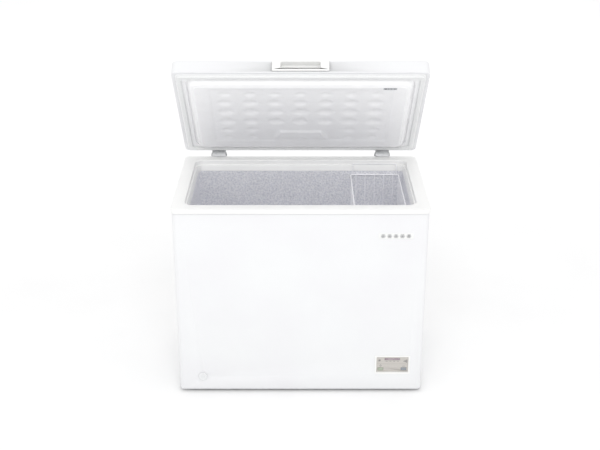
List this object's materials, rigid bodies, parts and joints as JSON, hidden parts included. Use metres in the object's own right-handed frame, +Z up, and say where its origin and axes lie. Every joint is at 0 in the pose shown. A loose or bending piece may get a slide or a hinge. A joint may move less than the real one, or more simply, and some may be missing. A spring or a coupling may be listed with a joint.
{
  "type": "chest freezer",
  "caption": "Chest freezer with a sprung top lid, embossed aluminium tub, hanging basket, front control panel and rear compressor compartment.",
  "frame": {"origin": "on the floor, under the middle of the part as it rests with its lid half open", "axes": "+Z up, +Y to the back where the hinges are, +X to the right of someone who stands in front"},
  "size_m": [0.945, 0.616, 1.265],
  "materials": {
    "pre_painted_steel": "satin",
    "white_abs": "satin",
    "white_polystyrene": "satin",
    "light_grey_abs": "satin",
    "dark_grey_plastic": "matte",
    "stucco_aluminium": "satin",
    "polyurethane_foam": "matte",
    "galvanised_steel": "satin",
    "spring_steel": "satin",
    "black_enamel": "gloss",
    "black_rubber": "matte",
    "white_pvc": "satin",
    "copper_tube": "satin",
    "aluminium_tube": "satin",
    "pe_coated_wire": "satin",
    "brushed_aluminium": "satin",
    "circuit_board": "satin",
    "smoked_lens": "gloss",
    "button_green": "satin",
    "button_grey": "satin",
    "label_film": "satin"
  },
  "bodies": {
    "cabinet": {"back_panel": "pre_painted_steel", "badge": "brushed_aluminium", "base_tray": "galvanised_steel", "cable_gland": "black_rubber", "compressor": "black_enamel", "compressor_mount_1": "black_rubber", "compressor_mount_2": "black_rubber", "compressor_mount_3": "black_rubber", "compressor_mount_4": "black_rubber", "compressor_plate": "black_enamel", "compressor_rail": "galvanised_steel", "condenser_coil": "copper_tube", "control_bezel": "white_abs", "control_board": "circuit_board", "control_plate": "brushed_aluminium", "discharge_pipe": "copper_tube", "drain_tube": "white_abs", "evaporator_coil": "aluminium_tube", "filter_drier": "copper_tube", "foam_body": "polyurethane_foam", "foot_front_left": "dark_grey_plastic", "foot_front_right": "dark_grey_plastic", "foot_rear_left": "dark_grey_plastic", "foot_rear_right": "dark_grey_plastic", "hinge_housing_left": "galvanised_steel", "hinge_housing_right": "galvanised_steel", "hinge_pin_left": "spring_steel", "hinge_pin_right": "spring_steel", "hinge_spring_left": "spring_steel", "hinge_spring_right": "spring_steel", "housing_screw_left_1": "galvanised_steel", "housing_screw_left_2": "galvanised_steel", "housing_screw_right_1": "galvanised_steel", "housing_screw_right_2": "galvanised_steel", "indicator_lens": "smoked_lens", "inner_liner": "stucco_aluminium", "outer_shell": "pre_painted_steel", "rear_cover": "white_abs", "suction_pipe": "copper_tube", "terminal_cover": "dark_grey_plastic", "top_frame": "white_abs"},
    "lid": {"lid_skin": "pre_painted_steel", "lid_foam": "polyurethane_foam", "lid_liner": "white_polystyrene", "lid_gasket": "white_pvc", "lid_handle": "white_abs", "star_label": "label_film", "hinge_leaf_left": "galvanised_steel", "hinge_leaf_right": "galvanised_steel", "leaf_screw_left_1": "galvanised_steel", "leaf_screw_left_2": "galvanised_steel", "leaf_screw_right_1": "galvanised_steel", "leaf_screw_right_2": "galvanised_steel"},
    "basket": {"basket": "pe_coated_wire"},
    "drain_cap": {"drain_cap": "light_grey_abs"},
    "drain_plug": {"drain_plug": "black_rubber"},
    "button_left": {"button_left": "button_green"},
    "button_right": {"button_right": "button_grey"},
    "hinge_slider_left": {"hinge_slider_left": "dark_grey_plastic"},
    "hinge_slider_right": {"hinge_slider_right": "dark_grey_plastic"}
  },
  "joints": [
    {"name": "lid_hinge", "type": "hinge", "parent": "cabinet", "child": "lid", "pos_m": [0, 0.26656, 0.774], "axis": [-1, 0, 0], "range_deg": [-50.5, 34.5]},
    {"name": "slider_left_travel", "type": "slide", "parent": "cabinet", "child": "hinge_slider_left", "axis": [0, 0, 1], "range_m": [-0.0055, 0.0038], "deforming": ["hinge_spring_left"]},
    {"name": "slider_right_travel", "type": "slide", "parent": "cabinet", "child": "hinge_slider_right", "axis": [0, 0, 1], "range_m": [-0.0055, 0.0038], "deforming": ["hinge_spring_right"]},
    {"name": "basket_lift", "type": "slide", "parent": "cabinet", "child": "basket", "axis": [0, 0, 1], "range_m": [0, 0.06]},
    {"name": "drain_cap_pull", "type": "slide", "parent": "cabinet", "child": "drain_cap", "axis": [0, -1, 0], "range_m": [0, 0.025]},
    {"name": "drain_plug_lift", "type": "slide", "parent": "cabinet", "child": "drain_plug", "axis": [0, 0, 1], "range_m": [0, 0.025]},
    {"name": "button_left_press", "type": "slide", "parent": "cabinet", "child": "button_left", "axis": [0, 1, 0], "range_m": [0, 0.0012], "stiffness_N_per_m": 400},
    {"name": "button_right_press", "type": "slide", "parent": "cabinet", "child": "button_right", "axis": [0, 1, 0], "range_m": [0, 0.0012], "stiffness_N_per_m": 400}
  ],
  "couplings": [
    {"joint": "slider_left_travel", "follows": "lid_hinge", "m_per_rad": 0.006},
    {"joint": "slider_right_travel", "follows": "lid_hinge", "m_per_rad": 0.006}
  ]
}
